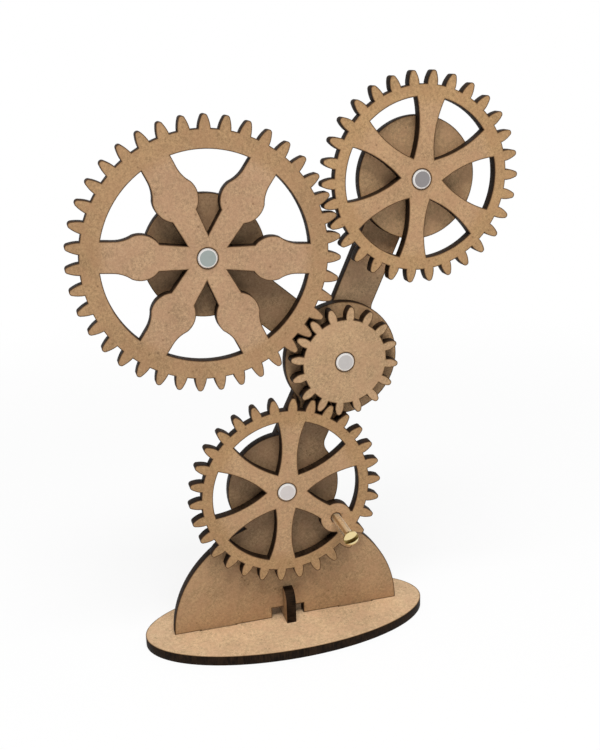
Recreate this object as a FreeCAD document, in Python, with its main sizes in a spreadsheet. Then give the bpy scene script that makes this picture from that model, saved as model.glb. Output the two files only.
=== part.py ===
import FreeCAD, Part
import Sketcher
import math
import os

from FreeCAD import Rotation, Vector

# A hand cranked gear toy of laser cut fibreboard. An upright frame on an oval base carries four
# meshing gears on steel pins, and a brass screw in the lowest gear is the crank.
# Millimetres. X right, Y away from the viewer, Z up. The origin is the middle of the base's
# underside, and the upright frame stands on the base's long axis.

SIZES = {
    # sheet, and gear teeth with their ratios to the module
    "sheet_thickness": 3.2,
    "tooth_module": 2.0,
    "pressure_angle": 20.0,
    "tip_ratio": 0.85,
    "root_ratio": 1.15,
    "tip_rounding_ratio": 0.35,
    "tooth_play_ratio": 0.24,
    "centre_play": 0.1,
    "drive_teeth": 30,
    "idler_teeth": 16,
    "large_teeth": 39,
    "upper_teeth": 30,
    # where the axles stand, as angles clockwise from straight up
    "drive_height": 50.8,
    "idler_bearing": 25.8,
    "large_bearing": -48.9,
    "upper_bearing": 74.2,
    "drive_turn": 5.5,
    # gear spokes, and lobes with their ratios to the rim's inner radius
    "spoke_count": 6,
    "hub_wall": 3.9,
    "rim_width": 3.6,
    "spoke_rim_width": 9.0,
    "spoke_hollow": 1.25,
    "large_rim_width": 5.6,
    "large_spoke_turn": 33.0,
    "lobe_centre_ratio": 0.624,
    "lobe_radius_ratio": 0.2155,
    "lobe_neck_ratio": 0.254,
    "lobe_outer_ratio": 0.296,
    "lobe_blend_ratio": 0.0965,
    "crank_inset": 4.0,
    "crank_boss_radius": 5.3,
    "crank_hole_flare": 0.15,
    # frame
    "frame_gap": 0.8,
    "disc_margin": 0.7,
    "arm_width": 12.8,
    "frame_blend": 4.0,
    "skirt_half_width": 38.6,
    "skirt_drop": 10.8,
    "rear_disc_inset": 1.2,
    "rear_end_radius": 14.0,
    "rear_arm_shift": 2.5,
    "upper_spacer_radius": 18.7,
    "notch_width": 11.0,
    "notch_height": 3.7,
    "tab_width": 12.0,
    "tab_offset": 24.0,
    "tab_relief": 0.2,
    "tab_root": 1.0,
    # base and brace
    "base_half_length": 48.0,
    "base_half_depth": 22.2,
    "brace_reach": 4.8,
    "brace_height": 11.3,
    "brace_corner": 4.0,
    "slot_clearance": 0.1,
    # pins and crank screw
    "pin_diameter": 6.0,
    "pin_proud": 0.5,
    "pin_chamfer": 0.45,
    "running_clearance": 0.08,
    "seat_clearance": 0.02,
    "screw_diameter": 3.0,
    "screw_reach": 14.8,
    "screw_head_diameter": 4.8,
    "screw_head_height": 2.1,
    "screw_head_crown": 1.3,
    "screw_slot_width": 1.4,
    "screw_slot_depth": 1.4,
    "screw_slot_turn": 21.0,
}


def bearing_point(start, bearing, distance):
    """The point at a distance from start, along an angle clockwise from straight up."""
    angle = math.radians(bearing)
    return (start[0] + distance * math.sin(angle), start[1] + distance * math.cos(angle))


def mesh_turn(turn, teeth, mate_teeth, bearing):
    """How far the mate is turned so that its gap meets this gear's tooth on the line of centres."""
    pitch, mate_pitch = 360.0 / teeth, 360.0 / mate_teeth
    tooth_phase = ((bearing - turn) / pitch) % 1.0
    return (bearing + 180.0 - (0.5 - tooth_phase) * mate_pitch) % mate_pitch


def derived_sizes(s):
    """Tooth sizes, axle places and gear turns that follow from the driving sizes."""
    out = {"drive_x": 0.0, "drive_z": s["drive_height"]}
    for name in ("tip", "root", "tip_rounding", "tooth_play"):
        out[name + "_size"] = s[name + "_ratio"] * s["tooth_module"]
    drive_root = s["tooth_module"] * s["drive_teeth"] / 2 - out["root_size"]
    out["crank_radius"] = drive_root - s["rim_width"] - s["crank_inset"]
    out["hub_corner_radius"] = s["pin_diameter"] / 2 + s["hub_wall"]
    idler_tip = s["tooth_module"] * s["idler_teeth"] / 2 + out["tip_size"]
    out["disc_radius"] = idler_tip + s["disc_margin"]
    out["rear_disc_radius"] = out["disc_radius"] - s["rear_disc_inset"]
    out["skirt_height"] = s["drive_height"] - s["skirt_drop"] - s["sheet_thickness"]
    chain = (("drive", "idler"), ("idler", "large"), ("large", "upper"))
    for gear, mate in chain:
        distance = s["tooth_module"] * (s[gear + "_teeth"] + s[mate + "_teeth"]) / 2
        distance += s["centre_play"]
        here = (out[gear + "_x"], out[gear + "_z"])
        bearing = s[mate + "_bearing"]
        out[mate + "_x"], out[mate + "_z"] = bearing_point(here, bearing, distance)
        turn = s["drive_turn"] if gear == "drive" else out[gear + "_turn"]
        out[mate + "_turn"] = mesh_turn(turn, s[gear + "_teeth"], s[mate + "_teeth"], bearing)
    return out


doc = FreeCAD.newDocument("crank_gear_toy")
sheet = doc.addObject("Spreadsheet::Sheet", "sizes")
size = dict(SIZES)
size.update(derived_sizes(SIZES))
for row, (name, number) in enumerate(size.items(), start=1):
    sheet.set("A%d" % row, name)
    sheet.set("B%d" % row, repr(number))
    sheet.setAlias("B%d" % row, name)
doc.recompute()


def new_body(name, places=None):
    """A named body. places binds parts of its placement to expressions."""
    body = doc.addObject("PartDesign::Body", name)
    body.Label = name
    if places and "turn" in places:
        body.Placement = FreeCAD.Placement(Vector(), Rotation(Vector(0, 1, 0), 1.0))
        body.setExpression("Placement.Rotation.Angle", places["turn"])
    for axis in "xyz":
        if places and axis in places:
            body.setExpression("Placement.Base." + axis, places[axis])
    return body


def new_sketch(body, name, plane="XZ_Plane"):
    """A sketch on one of the body's own origin planes."""
    sketch = body.newObject("Sketcher::SketchObject", name)
    support = [feature for feature in body.Origin.OriginFeatures if feature.Role == plane][0]
    sketch.AttachmentSupport = (support, [""])
    sketch.MapMode = "FlatFace"
    return sketch


def bind(sketch, constraint, expression):
    """Adds a constraint and binds its value to an expression."""
    index = sketch.addConstraint(constraint)
    sketch.setExpression("Constraints[%d]" % index, expression)


def add_circle(sketch, radius, radius_text, centre=(0.0, 0.0), centre_text=None):
    """A circle whose radius, and centre if it has one, follow expressions."""
    circle = Part.Circle(Vector(centre[0], centre[1], 0), Vector(0, 0, 1), radius)
    index = sketch.addGeometry(circle, False)
    bind(sketch, Sketcher.Constraint("Radius", index, radius), radius_text)
    if centre_text is None:
        sketch.addConstraint(Sketcher.Constraint("Coincident", index, 3, -1, 1))
    else:
        for kind, value, text in zip(("DistanceX", "DistanceY"), centre, centre_text):
            bind(sketch, Sketcher.Constraint(kind, -1, 1, index, 3, value), text)


def add_path(sketch, steps):
    """A closed outline. Each step is its end point, with a point midway if it is an arc."""
    start = steps[-1][-1]
    for step in steps:
        corners = [Vector(x, y, 0) for x, y in ([start] + list(step))]
        if len(corners) == 2:
            sketch.addGeometry(Part.LineSegment(*corners), False)
        else:
            sketch.addGeometry(Part.Arc(*corners), False)
        start = step[-1]


def add_feature(body, kind, sketch, length_text, name):
    """A pad or pocket of a sketch, with its length bound to an expression."""
    feature = body.newObject("PartDesign::" + kind, name)
    feature.Profile = sketch
    feature.setExpression("Length", length_text)
    sketch.Visibility = False
    return feature


def cut_through(body, sketch, name):
    """A pocket right through the sheet, on the side of the sketch that the pads grow to."""
    pocket = body.newObject("PartDesign::Pocket", name)
    pocket.Profile = sketch
    pocket.Type = "ThroughAll"
    pocket.Reversed = True
    doc.recompute()
    return pocket


def around(body, feature, count_text, name):
    """Repeats a feature in a full circle about the body's front to back axis."""
    pattern = body.newObject("PartDesign::PolarPattern", name)
    pattern.Originals = [feature]
    axis = [item for item in body.Origin.OriginFeatures if item.Role == "Y_Axis"][0]
    pattern.Axis = (axis, [""])
    pattern.Angle = 360
    pattern.setExpression("Occurrences", count_text)
    body.Tip = pattern
    return pattern


def polar(radius, angle):
    """A sketch point from a radius and an angle clockwise from straight up, in radians."""
    return (radius * math.sin(angle), radius * math.cos(angle))


def involute(angle):
    return math.tan(angle) - angle


def tooth_outline(teeth):
    """One tooth pointing up: radial feet, flanks that follow the involute and a round crest."""
    pitch_radius = size["tooth_module"] * teeth / 2
    pressure = math.radians(size["pressure_angle"])
    base_radius = pitch_radius * math.cos(pressure)
    root_radius = pitch_radius - size["root_size"]
    tip_radius = pitch_radius + size["tip_size"]
    thickness = math.pi * size["tooth_module"] / 2 - size["tooth_play_size"]

    def half_angle(radius):
        slope = math.acos(min(1.0, base_radius / radius))
        return thickness / (2 * pitch_radius) + involute(pressure) - involute(slope)

    foot_radius = root_radius - size["tip_rounding_size"]
    low = max(base_radius, root_radius)
    high = tip_radius - size["tip_rounding_size"]
    middle = (low + high) / 2
    foot = half_angle(low)
    return [
        [polar(low, -foot)],
        [polar(middle, -half_angle(middle)), polar(high, -half_angle(high))],
        [polar(tip_radius, 0.0), polar(high, half_angle(high))],
        [polar(middle, half_angle(middle)), polar(low, foot)],
        [polar(foot_radius, foot)],
        [polar(foot_radius, -foot)],
    ]


def plain_window(rim_radius):
    """The gap between two plain spokes, centred halfway between them."""
    half_sector = math.pi / size["spoke_count"]
    spoke_angle = math.asin(size["spoke_rim_width"] / 2 / rim_radius)
    corner = polar(rim_radius, half_sector - spoke_angle)
    hub = polar(size["hub_corner_radius"], 0.0)
    chord = math.hypot(corner[0] - hub[0], corner[1] - hub[1])
    across = ((corner[1] - hub[1]) / chord, (hub[0] - corner[0]) / chord)
    bulge = tuple((corner[i] + hub[i]) / 2 + size["spoke_hollow"] * across[i] for i in (0, 1))
    mirrored = (-corner[0], corner[1])
    return [
        [(-bulge[0], bulge[1]), mirrored],
        [polar(rim_radius, 0.0), corner],
        [bulge, hub],
    ]


def turn_point(point, angle):
    """A sketch point turned clockwise about the axle."""
    cosine, sine = math.cos(angle), math.sin(angle)
    return (point[0] * cosine + point[1] * sine, point[1] * cosine - point[0] * sine)


def lobed_window(rim_radius):
    """The gap between two spokes that swell into round lobes, centred halfway between them."""
    half_sector = math.pi / size["spoke_count"]
    names = ("radius", "centre", "neck", "outer", "blend")
    lobe, centre, neck, outer, blend = [rim_radius * size["lobe_%s_ratio" % name] for name in names]
    neck, outer = neck / 2, outer / 2
    rim = (outer, math.sqrt(rim_radius ** 2 - outer ** 2))
    start = (neck, centre - math.sqrt(lobe ** 2 - neck ** 2))
    leave = math.asin(outer / lobe)
    end = (outer, centre + lobe * math.cos(leave))
    arrive = math.pi - math.asin(neck / lobe)
    near_end = leave + blend / lobe
    last = (lobe * math.sin(near_end), centre + lobe * math.cos(near_end))
    middle_angle = (arrive + near_end) / 2
    middle = (lobe * math.sin(middle_angle), centre + lobe * math.cos(middle_angle))
    past = (outer, min(end[1] + blend, (end[1] + rim[1]) / 2))
    bend = tuple(end[i] / 2 + (last[i] + past[i]) / 4 for i in (0, 1))
    side = [turn_point(point, -half_sector) for point in (start, middle, last, bend, past, rim)]
    start, middle, last, bend, past, rim = side
    hub = polar(size["hub_corner_radius"], 0.0)

    def mirror(point):
        return (-point[0], point[1])

    return [
        [start],
        [middle, last],
        [bend, past],
        [rim],
        [polar(rim_radius, 0.0), mirror(rim)],
        [mirror(past)],
        [mirror(bend), mirror(last)],
        [mirror(middle), mirror(start)],
        [hub],
    ]


def gear_body(name, window=None, window_turn=0.0):
    """A flat gear with its back face at the body's origin and its first tooth pointing up."""
    teeth = size[name + "_teeth"]
    module_text = "sizes.tooth_module * sizes.%s_teeth / 2" % name
    places = {
        "x": "sizes.%s_x" % name,
        "z": "sizes.%s_z" % name,
        "y": "-sizes.sheet_thickness / 2 - sizes.frame_gap",
        "turn": "sizes.%s_turn" % name,
    }
    body = new_body(name + "_gear", places)
    root_radius = size["tooth_module"] * teeth / 2 - size["root_size"]
    blank = new_sketch(body, name + "_blank")
    add_circle(blank, root_radius, module_text + " - sizes.root_size")
    add_feature(body, "Pad", blank, "sizes.sheet_thickness", name + "_disc")
    tooth = new_sketch(body, name + "_tooth_outline")
    add_path(tooth, tooth_outline(teeth))
    pad = add_feature(body, "Pad", tooth, "sizes.sheet_thickness", name + "_tooth")
    around(body, pad, "sizes.%s_teeth" % name, name + "_teeth_pattern")
    doc.recompute()
    if window:
        opening = new_sketch(body, name + "_window_outline")
        half_sector = math.pi / size["spoke_count"] + math.radians(window_turn)
        steps = [[turn_point(point, half_sector) for point in step] for step in window]
        add_path(opening, steps)
        pocket = cut_through(body, opening, name + "_window")
        around(body, pocket, "sizes.spoke_count", name + "_windows")
        doc.recompute()
    return body


def bore_gear(body, name):
    """The running hole for the pin."""
    bore = new_sketch(body, name + "_bore_outline")
    radius = size["pin_diameter"] / 2 + size["running_clearance"]
    add_circle(bore, radius, "sizes.pin_diameter / 2 + sizes.running_clearance")
    body.Tip = cut_through(body, bore, name + "_bore")


def flare_front_edge(body, radius, name):
    """Bevels the front edge of the last hole cut, found by its radius."""
    front = -size["sheet_thickness"]
    edges = []
    for i, edge in enumerate(body.Tip.Shape.Edges):
        curve = edge.Curve
        if curve.TypeId == "Part::GeomCircle" and abs(curve.Radius - radius) < 1e-4:
            if abs(curve.Center.y - front) < 1e-4:
                edges.append("Edge%d" % (i + 1))
    chamfer = body.newObject("PartDesign::Chamfer", name)
    chamfer.Base = (chamfer.BaseFeature, edges)
    chamfer.setExpression("Size", "sizes.%s" % name)
    doc.recompute()


def rim_radius(name, rim_width):
    teeth = size[name + "_teeth"]
    return size["tooth_module"] * teeth / 2 - size["root_size"] - rim_width


# The drive gear: one spoke carries a round boss, and the crank screw stands in it.
drive = gear_body("drive", plain_window(rim_radius("drive", size["rim_width"])))
boss = new_sketch(drive, "crank_boss_outline")
crank_spoke = math.radians(2 * 360.0 / size["spoke_count"])
crank_spot = polar(size["crank_radius"], crank_spoke)
spoke_text = "720 deg / sizes.spoke_count"
crank_text = ("sizes.crank_radius * sin(%s)" % spoke_text, "sizes.crank_radius * cos(%s)" % spoke_text)
add_circle(boss, size["crank_boss_radius"], "sizes.crank_boss_radius", crank_spot, crank_text)
drive.Tip = add_feature(drive, "Pad", boss, "sizes.sheet_thickness", "crank_boss")
crank_hole = new_sketch(drive, "crank_hole_outline")
hole_radius = size["screw_diameter"] / 2 + size["seat_clearance"]
hole_text = "sizes.screw_diameter / 2 + sizes.seat_clearance"
add_circle(crank_hole, hole_radius, hole_text, crank_spot, crank_text)
cut_through(drive, crank_hole, "crank_hole")
flare_front_edge(drive, hole_radius, "crank_hole_flare")
bore_gear(drive, "drive")

# The idler is a plain disc, the large gear has lobed spokes, and the upper gear plain ones.
bore_gear(gear_body("idler"), "idler")
large_window = lobed_window(rim_radius("large", size["large_rim_width"]))
bore_gear(gear_body("large", large_window, size["large_spoke_turn"]), "large")
upper_window = plain_window(rim_radius("upper", size["rim_width"]))
bore_gear(gear_body("upper", upper_window), "upper")


def axle_place(name):
    return (size[name + "_x"], size[name + "_z"])


def axle_text(name):
    return ("sizes.%s_x" % name, "sizes.%s_z" % name)


def add_disc(body, name, axle, radius_name):
    """A round pad of the sheet about an axle."""
    sketch = new_sketch(body, name + "_outline")
    place, text = axle_place(axle), axle_text(axle)
    add_circle(sketch, size[radius_name], "sizes." + radius_name, place, text)
    add_feature(body, "Pad", sketch, "sizes.sheet_thickness", name)


def add_strip(body, name, start, end, shift=0.0):
    """A straight run of the sheet from one axle to another, moved to its left by shift."""
    (x0, z0), (x1, z1) = axle_place(start), axle_place(end)
    length = math.hypot(x1 - x0, z1 - z0)
    along = ((x1 - x0) / length, (z1 - z0) / length)
    left = (-along[1], along[0])
    sides = (shift + size["arm_width"] / 2, shift - size["arm_width"] / 2)
    ends = [(x0, z0), (x1, z1)]
    corners = [(ends[i][0] + sides[j] * left[0], ends[i][1] + sides[j] * left[1])
               for i, j in ((0, 0), (1, 0), (1, 1), (0, 1))]
    sketch = new_sketch(body, name + "_outline")
    add_path(sketch, [[corner] for corner in corners])
    add_feature(body, "Pad", sketch, "sizes.sheet_thickness", name)


def is_inner_corner(shape, edge):
    """True for an edge square to the sheet whose corner points into the material."""
    if edge.Curve.TypeId != "Part::GeomLine" or abs(edge.tangentAt(edge.FirstParameter).y) < 0.99:
        return False
    middle = edge.valueAt((edge.FirstParameter + edge.LastParameter) / 2)
    probes, inner_share = 24, 0.56
    reach = size["sheet_thickness"] / 20
    inside = 0
    for step in range(probes):
        angle = 2 * math.pi * (step + 0.5) / probes
        probe = middle + Vector(reach * math.cos(angle), 0, reach * math.sin(angle))
        inside += shape.isInside(probe, 1e-4, False)
    return inside > probes * inner_share


def blend_inner_corners(body, name):
    """Rounds the corners where the arms run into the discs."""
    doc.recompute()
    shape = body.Tip.Shape
    edges = ["Edge%d" % (i + 1) for i, edge in enumerate(shape.Edges) if is_inner_corner(shape, edge)]
    fillet = body.newObject("PartDesign::Fillet", name)
    fillet.Base = (fillet.BaseFeature, edges)
    fillet.setExpression("Radius", "sizes.frame_blend")
    doc.recompute()


def add_pin_holes(body, name, axles):
    sketch = new_sketch(body, name + "_outline")
    radius = size["pin_diameter"] / 2 + size["seat_clearance"]
    text = "sizes.pin_diameter / 2 + sizes.seat_clearance"
    for axle in axles:
        add_circle(sketch, radius, text, axle_place(axle), axle_text(axle))
    cut_through(body, sketch, name)


def box_path(x0, x1, z0, z1):
    return [[(x0, z1)], [(x1, z1)], [(x1, z0)], [(x0, z0)]]


# The front frame: a rounded skirt on the base, discs behind three gears, and two arms.
thick = size["sheet_thickness"]
frame = new_body("front_frame", {"y": "sizes.sheet_thickness / 2"})
skirt = new_sketch(frame, "skirt_outline")
half, rise = size["skirt_half_width"], size["skirt_height"]
if half >= rise:
    oval = Part.Ellipse(Vector(half, thick, 0), Vector(0, thick + rise, 0), Vector(0, thick, 0))
    skirt.addGeometry(Part.ArcOfEllipse(oval, 0, math.pi), False)
else:
    oval = Part.Ellipse(Vector(0, thick + rise, 0), Vector(-half, thick, 0), Vector(0, thick, 0))
    skirt.addGeometry(Part.ArcOfEllipse(oval, -math.pi / 2, math.pi / 2), False)
skirt.addGeometry(Part.LineSegment(Vector(-half, thick, 0), Vector(half, thick, 0)), False)
add_feature(frame, "Pad", skirt, "sizes.sheet_thickness", "skirt")
for gear in ("drive", "idler", "large"):
    add_disc(frame, gear + "_backing_disc", gear, "disc_radius")
add_strip(frame, "neck", "drive", "idler")
add_strip(frame, "large_arm", "idler", "large")
blend_inner_corners(frame, "frame_corners")
tab_top = thick + size["tab_root"]
for side, word in ((-1, "left"), (1, "right")):
    tab = new_sketch(frame, word + "_tab_outline")
    inner = side * size["tab_offset"] - size["tab_width"] / 2
    add_path(tab, box_path(inner, inner + size["tab_width"], size["tab_relief"], tab_top))
    add_feature(frame, "Pad", tab, "sizes.sheet_thickness", word + "_tab")
notch = new_sketch(frame, "notch_outline")
half_notch = size["notch_width"] / 2
add_path(notch, box_path(-half_notch, half_notch, 0.0, thick + size["notch_height"]))
cut_through(frame, notch, "notch")
add_pin_holes(frame, "frame_pin_holes", ("drive", "idler", "large"))

# The rear arm: a strip behind the frame that reaches up to the upper gear.
rear = new_body("rear_arm", {"y": "sizes.sheet_thickness * 1.5"})
add_disc(rear, "rear_idler_disc", "idler", "rear_disc_radius")
add_disc(rear, "rear_drive_end", "drive", "rear_end_radius")
add_disc(rear, "rear_upper_end", "upper", "rear_end_radius")
add_strip(rear, "rear_lower_run", "drive", "idler", size["rear_arm_shift"])
add_strip(rear, "rear_upper_run", "idler", "upper", size["rear_arm_shift"])
blend_inner_corners(rear, "rear_corners")
add_pin_holes(rear, "rear_pin_holes", ("drive", "idler", "upper"))

# The spacer disc that brings the upper gear level with the others.
spacer = new_body("upper_spacer", {"y": "sizes.sheet_thickness / 2"})
add_disc(spacer, "spacer_disc", "upper", "upper_spacer_radius")
add_pin_holes(spacer, "spacer_pin_hole", ("upper",))

# The oval base, with slots for the frame's two tabs.
base = new_body("base_plate")
oval_sketch = new_sketch(base, "base_outline", "XY_Plane")
length, depth = size["base_half_length"], size["base_half_depth"]
far, near = (Vector(length, 0, 0), Vector(0, depth, 0))
if length < depth:
    far, near = near, Vector(-length, 0, 0)
oval_sketch.addGeometry(Part.Ellipse(far, near, Vector(0, 0, 0)), False)
add_feature(base, "Pad", oval_sketch, "sizes.sheet_thickness", "base_oval")
slots = new_sketch(base, "base_slots_outline", "XY_Plane")
play = size["slot_clearance"]
half_slot = thick / 2 + play
for side in (-1, 1):
    inner = side * size["tab_offset"] - size["tab_width"] / 2 - play
    outer = inner + size["tab_width"] + 2 * play
    add_path(slots, box_path(inner, outer, -half_slot, half_slot))
cut_through(base, slots, "base_slots")

# The small brace that crosses the frame in its notch and is glued on the base.
brace = new_body("cross_brace", {"x": "-sizes.sheet_thickness / 2"})
profile = new_sketch(brace, "brace_outline", "YZ_Plane")
edge_y = thick / 2 + size["brace_reach"]
top_z = thick + size["brace_height"]
round_r = size["brace_corner"]
slot_y = thick / 2 + play
web_z = thick + size["notch_height"] - play
lean = round_r * (1 - math.sqrt(0.5))
add_path(profile, [
    [(-edge_y, top_z - round_r)],
    [(-edge_y + lean, top_z - lean), (-edge_y + round_r, top_z)],
    [(-slot_y, top_z)],
    [(-slot_y, web_z)],
    [(slot_y, web_z)],
    [(slot_y, top_z)],
    [(edge_y - round_r, top_z)],
    [(edge_y - lean, top_z - lean), (edge_y, top_z - round_r)],
    [(edge_y, thick)],
    [(-edge_y, thick)],
])
add_feature(brace, "Pad", profile, "sizes.sheet_thickness", "brace_sheet")


def turned_body(name, places, steps):
    """A body turned about its front to back axis, from half of its lengthwise outline."""
    body = new_body(name, places)
    sketch = new_sketch(body, name + "_half_outline", "XY_Plane")
    add_path(sketch, steps)
    turned = body.newObject("PartDesign::Revolution", name + "_turned")
    turned.Profile = sketch
    turned.ReferenceAxis = (sketch, ["V_Axis"])
    turned.Angle = 360
    sketch.Visibility = False
    doc.recompute()
    return body


# The axle pins run from just in front of the gears to the back of the last sheet behind them.
sheets_behind = {"drive": 2, "idler": 2, "large": 1, "upper": 2}
pin_front = thick * 1.5 + size["frame_gap"] + size["pin_proud"]
pin_radius = size["pin_diameter"] / 2
bevel = size["pin_chamfer"]
for gear, sheets in sheets_behind.items():
    back = thick * (sheets - 0.5)
    turned_body(gear + "_axle", {"x": "sizes.%s_x" % gear, "z": "sizes.%s_z" % gear}, [
        [(0.0, -pin_front)],
        [(pin_radius - bevel, -pin_front)],
        [(pin_radius, -pin_front + bevel)],
        [(pin_radius, back - bevel)],
        [(pin_radius - bevel, back)],
        [(0.0, back)],
    ])

# The crank screw: a round shank in the boss, and a slotted head in front. It is held to turn the
# gears.
turn_text = "(%s + sizes.drive_turn * 1 deg)" % spoke_text
head_radius, crown = size["screw_head_diameter"] / 2, size["screw_head_crown"]
crown_radius = (head_radius ** 2 + crown ** 2) / (2 * crown)
crown_middle = crown_radius - math.sqrt(crown_radius ** 2 - (head_radius / 2) ** 2)
screw = turned_body("crank_screw", {
    "x": "sizes.drive_x + sizes.crank_radius * sin%s" % turn_text,
    "z": "sizes.drive_z + sizes.crank_radius * cos%s" % turn_text,
    "y": "-(sizes.sheet_thickness * 1.5 + sizes.frame_gap + sizes.screw_reach"
         " + sizes.screw_head_height)",
}, [
    [(0.0, 0.0)],
    [(head_radius / 2, crown_middle), (head_radius, crown)],
    [(head_radius, size["screw_head_height"])],
    [(size["screw_diameter"] / 2, size["screw_head_height"])],
    [(size["screw_diameter"] / 2, size["screw_head_height"] + size["screw_reach"] + thick)],
    [(0.0, size["screw_head_height"] + size["screw_reach"] + thick)],
])
drive_slot = new_sketch(screw, "screw_slot_outline")
half_width = size["screw_slot_width"] / 2
slot_length = size["screw_head_diameter"]
slot_turn = -math.radians(size["screw_slot_turn"])
slot_box = box_path(-slot_length, slot_length, -half_width, half_width)
add_path(drive_slot, [[turn_point(corner, slot_turn)] for (corner,) in slot_box])
add_feature(screw, "Pocket", drive_slot, "sizes.screw_slot_depth", "screw_slot")
doc.recompute()

bodies = [item for item in doc.Objects if item.TypeId == "PartDesign::Body"]
for item in doc.Objects:
    if "Invalid" in item.State or "Error" in item.State:
        raise RuntimeError("%s failed to build: %s" % (item.Label, item.State))
for body in bodies:
    shape = body.Shape
    if shape.isNull() or not shape.isValid() or len(shape.Solids) != 1:
        raise RuntimeError("%s isn't one valid solid" % body.Label)

os.makedirs("parts", exist_ok=True)
for body in bodies:
    body.Shape.exportStep(os.path.join("parts", body.Label + ".step"))
    box = body.Shape.BoundBox
    print("%-14s %9.1f mm3  X %.1f..%.1f  Y %.1f..%.1f  Z %.1f..%.1f" % (
        body.Label, body.Shape.Volume, box.XMin, box.XMax, box.YMin, box.YMax, box.ZMin, box.ZMax))
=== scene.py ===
# A hand cranked toy: four meshing fibreboard gears on an upright stand, with steel axle pins and
# a brass screw as the crank. Everything is in metres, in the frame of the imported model.
import math

import bpy
from mathutils import Matrix, Vector


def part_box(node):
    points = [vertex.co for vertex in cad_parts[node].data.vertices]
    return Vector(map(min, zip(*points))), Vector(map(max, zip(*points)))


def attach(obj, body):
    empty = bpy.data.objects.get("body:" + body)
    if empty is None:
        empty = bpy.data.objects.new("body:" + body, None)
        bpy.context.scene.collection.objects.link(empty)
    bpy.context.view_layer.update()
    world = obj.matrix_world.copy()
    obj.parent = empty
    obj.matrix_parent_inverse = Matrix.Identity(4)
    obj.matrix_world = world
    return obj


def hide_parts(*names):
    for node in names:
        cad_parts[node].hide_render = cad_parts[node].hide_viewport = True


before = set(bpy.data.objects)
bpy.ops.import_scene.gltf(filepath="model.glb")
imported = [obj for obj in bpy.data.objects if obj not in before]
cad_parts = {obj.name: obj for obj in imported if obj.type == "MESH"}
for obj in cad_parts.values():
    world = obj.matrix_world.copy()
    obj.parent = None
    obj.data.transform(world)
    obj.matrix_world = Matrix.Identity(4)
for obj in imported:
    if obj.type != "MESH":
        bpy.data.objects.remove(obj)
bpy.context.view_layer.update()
mm = 0.001


def workOn(piece):
    bpy.ops.object.select_all(action="DESELECT")
    piece.select_set(True)
    bpy.context.view_layer.objects.active = piece


def chooseFaces(piece, wanted):
    # leaves the piece in edit mode with only the wanted faces selected
    bpy.ops.object.mode_set(mode="EDIT")
    bpy.ops.mesh.select_mode(type="FACE")
    bpy.ops.mesh.select_all(action="DESELECT")
    bpy.ops.object.mode_set(mode="OBJECT")
    for face in piece.data.polygons:
        face.select = wanted(face)
    bpy.ops.object.mode_set(mode="EDIT")


def chooseEdges(piece, wanted):
    # the same for edges: wanted is given an edge's middle and the faces that meet there
    bpy.ops.object.mode_set(mode="EDIT")
    bpy.ops.mesh.select_mode(type="EDGE")
    bpy.ops.mesh.select_all(action="DESELECT")
    bpy.ops.object.mode_set(mode="OBJECT")
    meeting = {}
    for face in piece.data.polygons:
        for key in face.edge_keys:
            meeting.setdefault(key, []).append(face)
    points = piece.data.vertices
    for edge in piece.data.edges:
        a, b = (points[i].co for i in edge.vertices)
        edge.select = wanted((a + b) / 2, meeting.get(edge.key, []))
    bpy.ops.object.mode_set(mode="EDIT")


def smoothPiece(piece, angle):
    bpy.ops.object.mode_set(mode="OBJECT")
    workOn(piece)
    bpy.ops.object.shade_smooth_by_angle(angle=math.radians(angle))


# Shader helpers. A place is a column and a row in the node editor.
def addNode(tree, kind, place, **settings):
    node = tree.nodes.new(kind)
    node.location = (place[0] * 200, place[1] * -200)
    for name, value in settings.items():
        setattr(node, name, value)
    return node


def feed(tree, node, values):
    # each value is a plain number, a colour or another node's output
    for name, value in values.items():
        if isinstance(value, bpy.types.NodeSocket):
            tree.links.new(value, node.inputs[name])
        else:
            node.inputs[name].default_value = value
    return node


def newGroup(name, inputs, outputs):
    group = bpy.data.node_groups.new(name, "ShaderNodeTree")
    for socketName, kind, value in inputs:
        socket = group.interface.new_socket(socketName, in_out="INPUT", socket_type=kind)
        if value is not None:
            socket.default_value = value
    for socketName, kind in outputs:
        group.interface.new_socket(socketName, in_out="OUTPUT", socket_type=kind)
    start = addNode(group, "NodeGroupInput", (-6, 0))
    return group, start.outputs, addNode(group, "NodeGroupOutput", (9, 0))


def calculate(tree, operation, place, a, b=0.0):
    node = addNode(tree, "ShaderNodeMath", place, operation=operation)
    return feed(tree, node, {0: a, 1: b}).outputs["Value"]


def noise(tree, place, vector, scale, detail=2.0, roughness=0.5):
    node = addNode(tree, "ShaderNodeTexNoise", place)
    feed(tree, node, {"Vector": vector, "Scale": scale, "Detail": detail, "Roughness": roughness})
    return node.outputs["Fac"]


def between(tree, place, value, low, high, outLow=0.0, outHigh=1.0):
    node = addNode(tree, "ShaderNodeMapRange", place, interpolation_type="SMOOTHSTEP")
    feed(tree, node, {"Value": value, "From Min": low, "From Max": high,
                      "To Min": outLow, "To Max": outHigh})
    return node.outputs["Result"]


def mapped(tree, place, vector, location=(0, 0, 0), turn=(0, 0, 0), scale=(1, 1, 1)):
    node = addNode(tree, "ShaderNodeMapping", place)
    feed(tree, node, {"Vector": vector, "Location": location, "Scale": scale,
                      "Rotation": tuple(math.radians(angle) for angle in turn)})
    return node.outputs["Vector"]


def mixColours(tree, place, factor, a, b, blend="MIX"):
    node = addNode(tree, "ShaderNodeMix", place, data_type="RGBA", blend_type=blend)
    feed(tree, node, {0: factor, 6: a, 7: b})
    return node.outputs[2]


def newMaterial(name):
    material = bpy.data.materials.new(name)
    material.use_nodes = True
    tree = material.node_tree
    shader = tree.nodes["Principled BSDF"]
    shader.location = (2000, 0)
    tree.nodes["Material Output"].location = (2400, 0)
    spot = addNode(tree, "ShaderNodeTexCoord", (-5, 0)).outputs["Object"]
    return material, tree, shader, spot


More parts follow.
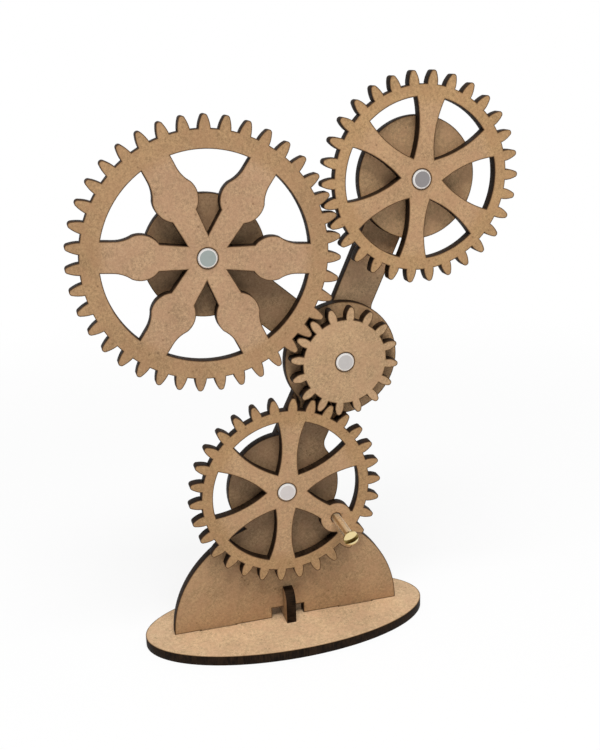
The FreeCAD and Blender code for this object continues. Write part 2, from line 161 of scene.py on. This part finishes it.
def bumpFrom(tree, shader, height, strength, distance):
    bump = addNode(tree, "ShaderNodeBump", (8, 3))
    feed(tree, bump, {"Height": height, "Strength": strength, "Distance": distance})
    tree.links.new(bump.outputs["Normal"], shader.inputs["Normal"])


# Pressed wood fibre: mottles, light fibres lying in three directions, and dark bits of bark.
# A scale is in cells per metre.
speckle = {"cloudScale": 60.0, "cloudShare": 0.45, "mottleScale": 1100.0, "mottleShare": 1.0,
           "gritScale": 3000.0, "gritShare": 0.75, "toneLow": 0.8, "toneHigh": 1.4,
           "hueScale": 210.0, "strandScale": 2600.0, "strandTurns": (14.0, 78.0, 137.0),
           "strandLow": 0.64, "strandHigh": 0.8, "barkScale": 520.0, "barkCore": 0.08,
           "barkEdge": 0.24, "barkFrom": 0.78, "barkFull": 0.82, "strandHeight": 0.5}


def makeFibreSpeckle(look):
    group, given, out = newGroup(
        "fibreSpeckle",
        [("Vector", "NodeSocketVector", None), ("Fibre Length", "NodeSocketFloat", 6.0)],
        [("Tone", "NodeSocketFloat"), ("Hue", "NodeSocketFloat"), ("Fibres", "NodeSocketFloat"),
         ("Bark", "NodeSocketFloat"), ("Height", "NodeSocketFloat")])
    vector = given["Vector"]
    cloud = noise(group, (-3, 0), vector, look["cloudScale"], 3.0, 0.6)
    mottle = noise(group, (-3, 1), vector, look["mottleScale"], 3.0, 0.75)
    grit = noise(group, (-3, 2), vector, look["gritScale"], 2.0, 0.7)
    tone = calculate(group, "MULTIPLY", (-1, 0), cloud, look["cloudShare"])
    for row, (grain, part) in enumerate(((mottle, "mottleShare"), (grit, "gritShare"))):
        weighed = calculate(group, "MULTIPLY", (-1, 1 + row), grain, look[part])
        tone = calculate(group, "ADD", (row, 0), tone, weighed)
    moved = mapped(group, (-4, 3), vector, (0.3, 0.1, 0.2))
    hue = noise(group, (-3, 3), moved, look["hueScale"], 2.0, 0.6)
    fibres = None
    for row, turn in enumerate(look["strandTurns"]):
        lying = mapped(group, (-4, 4 + row), vector, (0.07 * row, 0.05, 0.02), (0, 0, turn))
        stretch = addNode(group, "ShaderNodeVectorMath", (-3, 4 + row), operation="DIVIDE")
        across = addNode(group, "ShaderNodeCombineXYZ", (-4, 8 + row))
        feed(group, across, {"X": given["Fibre Length"], "Y": 1.0, "Z": 1.0})
        feed(group, stretch, {0: lying, 1: across.outputs["Vector"]})
        strands = noise(group, (-2, 4 + row), stretch.outputs["Vector"],
                        look["strandScale"], 1.0)
        strands = between(group, (-1, 4 + row), strands, look["strandLow"], look["strandHigh"])
        fibres = strands if fibres is None else calculate(
            group, "MAXIMUM", (0, 4 + row), fibres, strands)
    bits = addNode(group, "ShaderNodeTexVoronoi", (-2, 12))
    feed(group, bits, {"Vector": vector, "Scale": look["barkScale"]})
    dark = between(group, (-1, 12), bits.outputs["Distance"], look["barkEdge"], look["barkCore"])
    chance = addNode(group, "ShaderNodeSeparateXYZ", (-1, 13))
    feed(group, chance, {"Vector": bits.outputs["Color"]})
    rare = between(group, (0, 13), chance.outputs["X"], look["barkFrom"], look["barkFull"])
    bark = calculate(group, "MULTIPLY", (1, 12), dark, rare)
    raised = calculate(group, "MULTIPLY", (1, 8), fibres, look["strandHeight"])
    height = calculate(group, "ADD", (2, 8), raised, grit)
    spread = between(group, (3, 0), tone, look["toneLow"], look["toneHigh"])
    feed(group, out, {"Tone": spread, "Hue": hue, "Fibres": fibres, "Bark": bark,
                      "Height": height})
    return group


# What the laser leaves on a face beside its cut: a burnt line and a faint smoky border.
def makeScorch():
    group, given, out = newGroup(
        "scorch",
        [("Vector", "NodeSocketVector", None), ("Cut Fade", "NodeSocketFloat", 1.0)],
        [("Burn", "NodeSocketFloat"), ("Smoke", "NodeSocketFloat")])
    patchy = noise(group, (-3, 0), given["Vector"], 260.0, 2.0, 0.6)
    wobble = calculate(group, "MULTIPLY", (-2, 0), calculate(group, "SUBTRACT", (-2, 1), patchy, 0.5),
                       0.35)
    fade = calculate(group, "ADD", (-1, 0), given["Cut Fade"], wobble)
    burn = between(group, (1, 0), fade, 0.5, 0.1)
    smoke = between(group, (1, 1), fade, 1.1, 0.4)
    feed(group, out, {"Burn": burn, "Smoke": smoke})
    return group


# The cut wall itself: charred, with fine upright streaks left by the beam.
def makeCharStreaks():
    group, given, out = newGroup(
        "charStreaks", [("Vector", "NodeSocketVector", None)],
        [("Tone", "NodeSocketFloat"), ("Height", "NodeSocketFloat")])
    drawn = mapped(group, (-4, 0), given["Vector"], scale=(1, 1, 0.12))
    streaks = noise(group, (-3, 0), drawn, 2600.0, 2.0, 0.6)
    patches = noise(group, (-3, 1), given["Vector"], 300.0, 2.0, 0.6)
    tone = calculate(group, "ADD", (-1, 0), calculate(group, "MULTIPLY", (-2, 0), streaks, 0.6),
                     calculate(group, "MULTIPLY", (-2, 1), patches, 0.4))
    feed(group, out, {"Tone": between(group, (0, 0), tone, 0.35, 0.65), "Height": streaks})
    return group


# Fine rings from the lathe, and soft smears from handling, about a pattern's own Z axis.
def makeLatheMarks():
    group, given, out = newGroup(
        "latheMarks",
        [("Vector", "NodeSocketVector", None), ("Ring Spacing", "NodeSocketFloat", 0.0002)],
        [("Rings", "NodeSocketFloat"), ("Smears", "NodeSocketFloat")])
    flat = addNode(group, "ShaderNodeVectorMath", (-4, 0), operation="MULTIPLY")
    feed(group, flat, {0: given["Vector"], 1: (1.0, 1.0, 0.0)})
    radius = addNode(group, "ShaderNodeVectorMath", (-3, 0), operation="LENGTH")
    feed(group, radius, {0: flat.outputs["Vector"]})
    depth = addNode(group, "ShaderNodeSeparateXYZ", (-3, 1))
    feed(group, depth, {"Vector": given["Vector"]})
    along = calculate(group, "ADD", (-2, 0), radius.outputs["Value"],
                      calculate(group, "ABSOLUTE", (-2, 1), depth.outputs["Z"]))
    steps = calculate(group, "DIVIDE", (-1, 0), along, given["Ring Spacing"])
    rings = addNode(group, "ShaderNodeTexNoise", (0, 0), noise_dimensions="1D")
    feed(group, rings, {"W": steps, "Scale": 1.0, "Detail": 2.0})
    smears = noise(group, (0, 1), given["Vector"], 520.0, 3.0, 0.6)
    feed(group, out, {"Rings": rings.outputs["Fac"], "Smears": smears})
    return group


effects = {"fibreSpeckle": makeFibreSpeckle(speckle), "scorch": makeScorch(),
           "charStreaks": makeCharStreaks(), "latheMarks": makeLatheMarks()}
print("effects ready:", ", ".join(effects))


def placeEffect(tree, name, place, values):
    node = addNode(tree, "ShaderNodeGroup", place, node_tree=effects[name])
    return feed(tree, node, values).outputs


# The two finishes of a sheet: its sanded face, and the wall that the laser cut.
sheetTurns = {"Y": (90.0, 0.0, 0.0), "Z": (0.0, 0.0, 0.0), "X": (0.0, -90.0, 0.0)}


def shade(tone, red, green=None, blue=None):
    # a colour that is lighter, darker or warmer than the board's own tone
    steps = (red, red if green is None else green, red if blue is None else blue)
    return tuple(part * step for part, step in zip(tone, steps)) + (1,)


def boardFace(spec):
    material, tree, shader, spot = newMaterial(spec["name"] + "Face")
    tone, spread = spec["tone"], spec["contrast"]
    laid = mapped(tree, (-4, 0), spot, turn=sheetTurns[spec["facing"]])
    shifted = mapped(tree, (-3, 0), laid, spec["shift"], (0, 0, spec["fibreTurn"]))
    fibre = placeEffect(tree, "fibreSpeckle", (-1, 0),
                        {"Vector": shifted, "Fibre Length": spec["fibreLength"]})
    fade = addNode(tree, "ShaderNodeAttribute", (-3, 3), attribute_name="cutFade")
    scorch = placeEffect(tree, "scorch", (-1, 3),
                         {"Vector": shifted, "Cut Fade": fade.outputs["Fac"]})
    colour = mixColours(tree, (1, 0), fibre["Tone"], shade(tone, 1 - spread),
                        shade(tone, 1 + spread))
    warm = between(tree, (1, 1), fibre["Hue"], 0.35, 0.68, 0.0, spec["warmth"])
    colour = mixColours(tree, (2, 0), warm, colour, shade(tone, 1.05, 0.96, 0.99))
    strands = calculate(tree, "MULTIPLY", (2, 1), fibre["Fibres"], spec["fibreShare"])
    colour = mixColours(tree, (3, 0), strands, colour, shade(tone, 1.38, 1.5, 1.65))
    bark = calculate(tree, "MULTIPLY", (3, 1), fibre["Bark"], spec["barkShare"])
    colour = mixColours(tree, (4, 0), bark, colour, shade(tone, 0.36, 0.32, 0.27))
    # Tinted rings about another node's axle, with a ragged edge. On the front frame they are painted
    # shade on the discs behind the gears. On the gears they make the rim and teeth darker and
    # yellower.
    for row, (node, near, far, tint) in enumerate(spec["tintRings"]):
        low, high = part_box(node)
        flat = feed(tree, addNode(tree, "ShaderNodeVectorMath", (-4, 6 + row), operation="MULTIPLY"),
                    {0: spot, 1: (1.0, 0.0, 1.0)})
        middle = ((low[0] + high[0]) / 2, 0.0, (low[2] + high[2]) / 2)
        away = feed(tree, addNode(tree, "ShaderNodeVectorMath", (-3, 6 + row), operation="DISTANCE"),
                    {0: flat.outputs["Vector"], 1: middle})
        ragged = calculate(tree, "ADD", (-2, 6 + row), away.outputs["Value"],
                           calculate(tree, "MULTIPLY", (-2, 7 + row), fibre["Hue"], 3 * mm))
        ringTint = between(tree, (0, 6 + row), ragged, near + 1.5 * mm, far + 1.5 * mm)
        colour = mixColours(tree, (4.5, row), ringTint, colour, tint, "MULTIPLY")
    smoke = calculate(tree, "MULTIPLY", (4, 1), scorch["Smoke"], spec["smoke"])
    colour = mixColours(tree, (5, 0), smoke, colour, shade(tone, 0.76, 0.72, 0.6))
    burn = calculate(tree, "MULTIPLY", (5, 1), scorch["Burn"], spec["burnShare"])
    colour = mixColours(tree, (6, 0), burn, colour, shade(tone, 0.15, 0.11, 0.08))
    dull = between(tree, (6, 1), fibre["Tone"], 0.0, 1.0, 0.86, 0.7)
    feed(tree, shader, {"Base Color": colour, "Roughness": dull, "Specular IOR Level": 0.35})
    bumpFrom(tree, shader, fibre["Height"], 0.25, spec["fibreRelief"])
    return material


def boardWall(spec):
    material, tree, shader, spot = newMaterial(spec["name"] + "Wall")
    laid = mapped(tree, (-4, 0), spot, spec["shift"], sheetTurns[spec["facing"]])
    char = placeEffect(tree, "charStreaks", (-1, 0), {"Vector": laid})
    colour = mixColours(tree, (1, 0), char["Tone"], spec["charDark"], spec["charLight"])
    sheen = between(tree, (1, 1), char["Tone"], 0.0, 1.0, 0.5, 0.72)
    feed(tree, shader, {"Base Color": colour, "Roughness": sheen, "Specular IOR Level": 0.06})
    bumpFrom(tree, shader, char["Height"], 0.4, spec["charRelief"])
    return material


sheetAxes = {"X": 0, "Y": 1, "Z": 2}
boardDefaults = {
    "facing": "Y",
    "tone": (0.449, 0.285, 0.163),
    "contrast": 0.31,
    "tintRings": (),
    "smoke": 0.5,
    "charDark": (0.006, 0.003, 0.0015, 1),
    "charLight": (0.028, 0.016, 0.009, 1),
    "warmth": 0.55,
    "fibreLength": 5.0,
    "fibreShare": 0.3,
    "barkShare": 0.55,
    "burnShare": 0.95,
    "fibreRelief": 0.06 * mm,
    "charRelief": 0.08 * mm,
    "burnLine": 0.17 * mm,
    "smokeBorder": 0.43 * mm,
    "arris": 0.05 * mm,
    "shift": (0.0, 0.0, 0.0),
    "fibreTurn": 0.0,
}


def makeBoard(changes):
    # A merged copy of the sheet's CAD node. Each face gets two narrow borders along its cuts,
    # which carry the burn marks, and its arrises are eased a little.
    spec = {**boardDefaults, **changes}
    axis = sheetAxes[spec["facing"]]
    piece = bpy.data.objects.new(spec["name"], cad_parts[spec["node"]].data.copy())
    bpy.context.collection.objects.link(piece)
    workOn(piece)
    bpy.ops.mesh.customdata_custom_splitnormals_clear()
    bpy.ops.object.mode_set(mode="EDIT")
    bpy.ops.mesh.select_all(action="SELECT")
    bpy.ops.mesh.remove_doubles(threshold=0.001 * mm)
    bpy.ops.object.mode_set(mode="OBJECT")
    cutFade = piece.data.attributes.new("cutFade", "FLOAT", "POINT")
    piece.data.attributes.active = cutFade
    for side in (-1, 1):
        chooseFaces(piece, lambda face: face.normal[axis] * side > 0.99)
        for width, fade in ((spec["burnLine"], 0.15), (spec["smokeBorder"], 1.0)):
            bpy.ops.mesh.inset(thickness=width, depth=0, use_even_offset=True)
            bpy.ops.mesh.attribute_set(value_float=fade)
        bpy.ops.mesh.delete(type="FACE")
        bpy.ops.mesh.select_mode(type="EDGE")
        bpy.ops.mesh.select_non_manifold(extend=False, use_wire=False, use_multi_face=False,
                                         use_non_contiguous=False, use_verts=False)
        bpy.ops.mesh.fill(use_beauty=True)

    def isArris(middle, faces):
        slants = sorted(abs(face.normal[axis]) for face in faces)
        return len(slants) == 2 and slants[0] < 0.3 and slants[1] > 0.99

    chooseEdges(piece, isArris)
    bpy.ops.mesh.bevel(offset=spec["arris"], segments=2, profile=0.6, affect="EDGES")
    bpy.ops.mesh.select_all(action="SELECT")
    bpy.ops.mesh.normals_make_consistent(inside=False)
    smoothPiece(piece, 32)
    piece.data.materials.clear()
    piece.data.materials.append(boardFace(spec))
    piece.data.materials.append(boardWall(spec))
    for face in piece.data.polygons:
        face.material_index = 0 if abs(face.normal[axis]) > 0.6 else 1
    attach(piece, spec["body"])
    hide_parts(spec["node"])
    print("board", spec["name"], len(piece.data.polygons), "faces")
    return piece


rimTint = (0.87, 0.84, 0.74, 1)
# painted shade: darkens the front frame's discs round the drive and large axles, where they lie
# behind the gears
paintedShadeTint = (0.68, 0.67, 0.68, 1)
driveGear = makeBoard({
    "name": "driveGear", "node": "drive_gear", "body": "drive_wheel", "slot": "gear_board",
    "shift": (0.11, 0.03, 0.02), "fibreTurn": 12.0, "tone": (0.447, 0.280, 0.150),
    "tintRings": (("drive_axle", 20 * mm, 25 * mm, rimTint),)})
idlerGear = makeBoard({
    "name": "idlerGear", "node": "idler_gear", "body": "idler_wheel", "slot": "gear_board",
    "shift": (0.31, 0.13, 0.05), "fibreTurn": 50.0, "tone": (0.471, 0.308, 0.170)})
largeGear = makeBoard({
    "name": "largeGear", "node": "large_gear", "body": "large_wheel", "slot": "gear_board",
    "shift": (0.52, 0.21, 0.09), "fibreTurn": 96.0,
    "tintRings": (("large_axle", 28 * mm, 33 * mm, rimTint),)})
upperGear = makeBoard({
    "name": "upperGear", "node": "upper_gear", "body": "upper_wheel", "slot": "gear_board",
    "shift": (0.73, 0.42, 0.13), "fibreTurn": 150.0, "tone": (0.450, 0.280, 0.150),
    "tintRings": (("upper_axle", 20 * mm, 25 * mm, (0.95, 0.94, 0.84, 1)),)})
frontFrame = makeBoard({
    "name": "frontFrame", "node": "front_frame", "body": "stand", "slot": "frame_board",
    "shift": (0.94, 0.05, 0.17), "fibreTurn": 33.0, "tone": (0.421, 0.266, 0.139),
    # painted shade on the discs behind the drive and large gears
    "tintRings": (("drive_axle", 28 * mm, 25 * mm, paintedShadeTint),
               ("large_axle", 38 * mm, 34 * mm, paintedShadeTint))})
rearArm = makeBoard({
    "name": "rearArm", "node": "rear_arm", "body": "stand", "slot": "frame_board",
    "shift": (0.15, 0.64, 0.21), "fibreTurn": 71.0, "tone": (0.471, 0.306, 0.171)})
upperSpacer = makeBoard({
    "name": "upperSpacer", "node": "upper_spacer", "body": "stand", "slot": "frame_board",
    "shift": (0.37, 0.85, 0.25), "fibreTurn": 118.0, "tone": (0.516, 0.324, 0.170)})
# the brace's darker tone is painted shade: the frame board darkened to the shaded look of its side
# face
crossBrace = makeBoard({
    "name": "crossBrace", "node": "cross_brace", "facing": "X", "body": "stand",
    "slot": "frame_board", "shift": (0.58, 0.96, 0.29), "fibreTurn": 5.0,
    "tone": (0.330, 0.205, 0.105)})
basePlate = makeBoard({
    "name": "basePlate", "node": "base_plate", "facing": "Z", "body": "stand",
    "slot": "base_board", "shift": (0.79, 0.17, 0.33), "fibreTurn": 84.0,
    "tone": (0.535, 0.370, 0.219)})


# Steel axle pins: turned bar with a bright chamfer round a duller end.
latheRelief = 0.01 * mm


def steelMaterial(name, centre, tone, polish):
    material, tree, shader, spot = newMaterial(name)
    laid = mapped(tree, (-4, 0), spot, (-centre.x, centre.z, -centre.y), (90, 0, 0))
    marks = placeEffect(tree, "latheMarks", (-1, 0), {"Vector": laid, "Ring Spacing": 0.16 * mm})
    colour = mixColours(tree, (1, 0), marks["Smears"], shade(tone, 0.82), shade(tone, 1.16))
    dull = between(tree, (1, 1), marks["Smears"], 0.3, 0.7, polish, polish + 0.2)
    feed(tree, shader, {"Base Color": colour, "Roughness": dull, "Metallic": 1.0})
    bumpFrom(tree, shader, marks["Rings"], 0.25, latheRelief)
    return material


def makePin(changes):
    spec = {"radius": 3.0 * mm, "chamfer": 0.42 * mm, "easing": 0.06 * mm, "sides": 96,
            "rim": 0.1 * mm, "dish": 0.02 * mm, "bright": (0.82, 0.80, 0.78), "polish": 0.3,
            **changes}
    low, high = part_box(spec["node"])
    centre = (Vector(low) + Vector(high)) / 2
    bpy.ops.object.select_all(action="DESELECT")
    bpy.ops.mesh.primitive_cylinder_add(vertices=spec["sides"], radius=spec["radius"],
                                        depth=high[1] - low[1], location=centre,
                                        rotation=(math.radians(90), 0, 0))
    piece = bpy.context.object
    piece.name = spec["name"]
    bpy.ops.object.transform_apply(location=True, rotation=True, scale=True)

    def isEnd(face):
        return abs(face.normal.y) > 0.99

    chooseEdges(piece, lambda middle, faces: sum(map(isEnd, faces)) == 1)
    bpy.ops.mesh.bevel(offset=spec["chamfer"], segments=1, affect="EDGES")
    bpy.ops.mesh.bevel(offset=spec["easing"], segments=2, affect="EDGES")
    chooseFaces(piece, isEnd)
    bpy.ops.mesh.inset(thickness=spec["rim"], depth=0)
    bpy.ops.mesh.inset(thickness=spec["radius"] / 2, depth=-spec["dish"])
    smoothPiece(piece, 30)
    for label, tone in (("Side", spec["bright"]), ("End", spec["tone"])):
        piece.data.materials.append(
            steelMaterial(spec["name"] + label, centre, tone, spec["polish"]))
    for face in piece.data.polygons:
        near = (face.center - centre) * Vector((1, 0, 1))
        face.material_index = int(isEnd(face) and near.length < spec["radius"] * 0.8)
    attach(piece, "stand")
    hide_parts(spec["node"])
    return piece


# One steel for all four pins: the end tones that differ pin by pin are painted reflection, each
# standing in for what that end reflects.
drivePin = makePin({"name": "drivePin", "node": "drive_axle", "tone": (0.66, 0.61, 0.59)})
idlerPin = makePin({"name": "idlerPin", "node": "idler_axle", "tone": (0.57, 0.54, 0.52)})
largePin = makePin({"name": "largePin", "node": "large_axle", "tone": (0.38, 0.42, 0.40)})
upperPin = makePin({"name": "upperPin", "node": "upper_axle", "tone": (0.31, 0.29, 0.29)})
print("pins made")


# The crank: a brass screw with a smooth shank and a round slotted head.
crank = {"name": "crankScrew", "shank": 1.5 * mm, "head": 2.4 * mm, "headHeight": 2.1 * mm,
         "crown": 1.3 * mm, "slotWidth": 1.4 * mm, "slotDepth": 1.4 * mm, "slotTurn": 21.0,
         "sides": 96, "crownRings": 10, "easing": 0.07 * mm,
         # where the shank's painted dark reflection lies
         "paintedReflectionTurn": 138.0, "paintedReflectionDepth": 0.02 * mm, "paintedReflectionEdge": 0.08 * mm}
crankFinishes = (
    {"label": "Head", "tone": (0.90, 0.75, 0.42), "polish": 0.26, "metal": 1.0},
    {"label": "Shank", "tone": (0.95, 0.74, 0.48), "polish": 0.24, "metal": 0.6},
    # the slot's dark tone is painted shade in the recess
    {"label": "Slot", "tone": (0.30, 0.22, 0.08), "polish": 0.4, "metal": 1.0})


def brassMaterial(finish, end, spec):
    # end is the X, Z and Y of the shank's rear end
    material, tree, shader, spot = newMaterial("crankBrass" + finish["label"])
    tone, polish = finish["tone"], finish["polish"]
    laid = mapped(tree, (-4, 0), spot, (-end[0], end[1], -end[2]), (90, 0, 0))
    marks = placeEffect(tree, "latheMarks", (-1, 0), {"Vector": laid, "Ring Spacing": 0.12 * mm})
    colour = mixColours(tree, (1, 0), marks["Smears"], shade(tone, 0.84, 0.8, 0.7), shade(tone, 1))
    dull = between(tree, (1, 1), marks["Smears"], 0.3, 0.7, polish, polish + 0.12)
    if finish["label"] == "Shank":
        # a painted reflection, a dark streak along one side, and a painted highlight, a paler colour
        # where the metal is seen edge on
        turn = math.radians(spec["paintedReflectionTurn"])
        aside = feed(tree, addNode(tree, "ShaderNodeVectorMath", (-2, 3), operation="DOT_PRODUCT"),
                     {0: laid, 1: (math.cos(turn), -math.sin(turn), 0.0)})
        depth = calculate(tree, "SUBTRACT", (-1, 3), spec["shank"], aside.outputs["Value"])
        paintedReflection = between(tree, (0, 3), depth, spec["paintedReflectionEdge"], spec["paintedReflectionDepth"])
        colour = mixColours(tree, (2, 0), paintedReflection, colour, shade(tone, 0.5, 0.4, 0.28))
        # painted highlight: the metal's colour is paled where it is seen edge on
        edgeOn = addNode(tree, "ShaderNodeLayerWeight", (0, 4)).outputs["Facing"]
        paintedEdgeHighlight = between(tree, (1, 4), edgeOn, 0.78, 0.95)
        colour = mixColours(tree, (3, 0), paintedEdgeHighlight, colour, shade(tone, 1.05, 1.25, 1.6))
    feed(tree, shader, {"Base Color": colour, "Roughness": dull, "Metallic": finish["metal"]})
    bumpFrom(tree, shader, marks["Rings"], 0.15, latheRelief)
    return material


def makeCrankScrew(spec):
    low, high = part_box("crank_screw")
    centreX, centreZ = (low[0] + high[0]) / 2, (low[2] + high[2]) / 2
    front, back = low[1], high[1]
    headBack = front + spec["headHeight"]
    bpy.ops.object.select_all(action="DESELECT")
    bpy.ops.mesh.primitive_cylinder_add(vertices=spec["sides"], radius=spec["shank"],
                                        depth=back - headBack,
                                        location=(centreX, (headBack + back) / 2, centreZ),
                                        rotation=(math.radians(90), 0, 0))
    piece = bpy.context.object
    piece.name = spec["name"]
    bpy.ops.object.transform_apply(location=True, rotation=True, scale=True)
    # the head grows out of the front end, then its crown goes up in rings
    chooseFaces(piece, lambda face: face.normal.y < -0.99)
    middle = (centreX, headBack, centreZ)
    growth = spec["head"] / spec["shank"]
    bpy.ops.mesh.extrude_region_move()
    bpy.ops.transform.resize(value=(growth, 1, growth), center_override=middle)
    bpy.ops.mesh.extrude_region_move(
        TRANSFORM_OT_translate={"value": (0, -(spec["headHeight"] - spec["crown"]), 0)})
    domeRadius = (spec["head"] ** 2 + spec["crown"] ** 2) / (2 * spec["crown"])
    rings, radius, rise = spec["crownRings"], spec["head"], 0.0
    for ring in range(1, rings + 1):
        nextRadius = spec["head"] * math.cos(math.radians(88 * ring / rings))
        nextRise = math.sqrt(domeRadius ** 2 - nextRadius ** 2) - (domeRadius - spec["crown"])
        bpy.ops.mesh.extrude_region_move(TRANSFORM_OT_translate={"value": (0, rise - nextRise, 0)})
        share = nextRadius / radius
        bpy.ops.transform.resize(value=(share, 1, share), center_override=middle)
        radius, rise = nextRadius, nextRise
    bpy.ops.object.mode_set(mode="OBJECT")
    # a box as wide as the screwdriver's blade cuts the slot
    bpy.ops.object.select_all(action="DESELECT")
    bpy.ops.mesh.primitive_cube_add(size=1, location=(centreX, front, centreZ),
                                    rotation=(0, math.radians(-spec["slotTurn"]), 0),
                                    scale=(4 * spec["head"], 2 * spec["slotDepth"],
                                           spec["slotWidth"]))
    blade = bpy.context.object
    workOn(piece)
    cut = piece.modifiers.new("slot", "BOOLEAN")
    cut.operation, cut.solver, cut.object = "DIFFERENCE", "EXACT", blade
    bpy.ops.object.modifier_apply(modifier=cut.name)
    bpy.data.objects.remove(blade, do_unlink=True)
    ease = piece.modifiers.new("easing", "BEVEL")
    ease.width, ease.segments, ease.limit_method = spec["easing"], 2, "ANGLE"
    ease.angle_limit = math.radians(34)
    bpy.ops.object.modifier_apply(modifier=ease.name)
    smoothPiece(piece, 40)
    end = (centreX, centreZ, back)
    piece.data.materials.clear()
    for finish in crankFinishes:
        piece.data.materials.append(brassMaterial(finish, end, spec))
    turn = math.radians(spec["slotTurn"])
    for face in piece.data.polygons:
        out = face.center - Vector((centreX, front, centreZ))
        across = out.z * math.cos(turn) - out.x * math.sin(turn)
        inSlot = abs(across) < spec["slotWidth"] / 2 + 0.02 * mm and out.y > 0.15 * mm
        # the finishes' places in crankFinishes: head, shank, slot
        if face.center.y > headBack - 0.01 * mm:
            face.material_index = 1
        else:
            # the slot's faces take the dark finish: painted shade in the recess
            face.material_index = 2 if inSlot and out.y < spec["slotDepth"] + 0.1 * mm else 0
    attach(piece, "drive_wheel")
    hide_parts("crank_screw")
    print("crank screw made,", len(piece.data.polygons), "faces")
    return piece


crankScrew = makeCrankScrew(crank)

# The studio: a white floor, an even white surround and one large soft light from above.
studio = {"floorSize": 3.0, "floorWhite": 0.82, "underObject": 0.1, "clearOfShadow": 0.45,
          "surround": 0.26,
          "lightPower": 8.8, "lightSize": 0.42, "lightPlace": (-0.05, -0.33, 0.90),
          "lightAim": (0.0, 0.0, 0.09)}


def seenWhite(tree):
    # 1 for the rays that see the background itself or its reflection
    rays = addNode(tree, "ShaderNodeLightPath", (-3, 0)).outputs
    seen = calculate(tree, "MAXIMUM", (-2, 0), rays["Is Camera Ray"], rays["Is Glossy Ray"])
    return calculate(tree, "MAXIMUM", (-1, 0), seen, rays["Is Transmission Ray"])


bpy.ops.object.select_all(action="DESELECT")
bpy.ops.mesh.primitive_plane_add(size=studio["floorSize"], location=(0, 0, 0))
floor = bpy.context.object
floor.name = "floor"
floorMaterial, floorTree, floorShader, floorSpot = newMaterial("floorPaper")
grain = noise(floorTree, (-3, 3), floorSpot, 900.0, 2.0, 0.5)
paper = mixColours(floorTree, (-1, 3), grain, (0.86, 0.86, 0.86, 1), (0.90, 0.90, 0.90, 1))
feed(floorTree, floorShader, {"Base Color": paper, "Roughness": 0.9, "Specular IOR Level": 0.1})
glow = feed(floorTree, addNode(floorTree, "ShaderNodeEmission", (9, 1)), {"Strength": 1.0})
blend = addNode(floorTree, "ShaderNodeMixShader", (11, 0))
reach = feed(floorTree, addNode(floorTree, "ShaderNodeVectorMath", (-3, 5), operation="LENGTH"),
             {0: floorSpot})
fade = between(floorTree, (-2, 5), reach.outputs["Value"], studio["underObject"],
               studio["clearOfShadow"], studio["floorWhite"], 1.0)
share = calculate(floorTree, "MULTIPLY", (0, 0), seenWhite(floorTree), fade)
feed(floorTree, blend, {0: share, 1: floorShader.outputs["BSDF"], 2: glow.outputs["Emission"]})
floorTree.links.new(blend.outputs["Shader"],
                    floorTree.nodes["Material Output"].inputs["Surface"])
floor.data.materials.append(floorMaterial)

world = bpy.data.worlds.new("surround")
bpy.context.scene.world = world
world.use_nodes = True
sky = world.node_tree
dim = feed(sky, sky.nodes["Background"], {"Color": (1, 1, 1, 1), "Strength": studio["surround"]})
white = feed(sky, addNode(sky, "ShaderNodeBackground", (0, 2)),
             {"Color": (1, 1, 1, 1), "Strength": 1.0})
chosen = addNode(sky, "ShaderNodeMixShader", (2, 0))
feed(sky, chosen, {0: seenWhite(sky), 1: dim.outputs["Background"], 2: white.outputs["Background"]})
sky.links.new(chosen.outputs["Shader"], sky.nodes["World Output"].inputs["Surface"])

bpy.ops.object.light_add(type="AREA", location=studio["lightPlace"])
lamp = bpy.context.object
lamp.name = "softLight"
lamp.data.energy, lamp.data.size = studio["lightPower"], studio["lightSize"]
# hidden from reflections, so that it puts no white patch on the brass
lamp.visible_glossy = False
aim = Vector(studio["lightAim"]) - Vector(studio["lightPlace"])
lamp.rotation_euler = aim.to_track_quat("-Z", "Y").to_euler()

# The camera stands left of the middle and a little above, as it did for the photograph.
view = {"lens": 47.125, "place": (-0.07099, -0.28387, 0.18529),
        "azimuth": -15.34, "elevation": 18.32, "roll": -1.54}
bpy.ops.object.camera_add()
camera = bpy.context.object
camera.data.lens, camera.data.sensor_width = view["lens"], 36.0
camera.data.clip_start, camera.data.clip_end = 0.01, 20.0
camera.matrix_world = (Matrix.Translation(view["place"])
                       @ Matrix.Rotation(math.radians(view["azimuth"]), 4, "Z")
                       @ Matrix.Rotation(math.radians(90 - view["elevation"]), 4, "X")
                       @ Matrix.Rotation(math.radians(view["roll"]), 4, "Z"))
bpy.context.scene.camera = camera
bpy.context.scene.view_settings.view_transform = "Standard"
print("studio and camera ready")
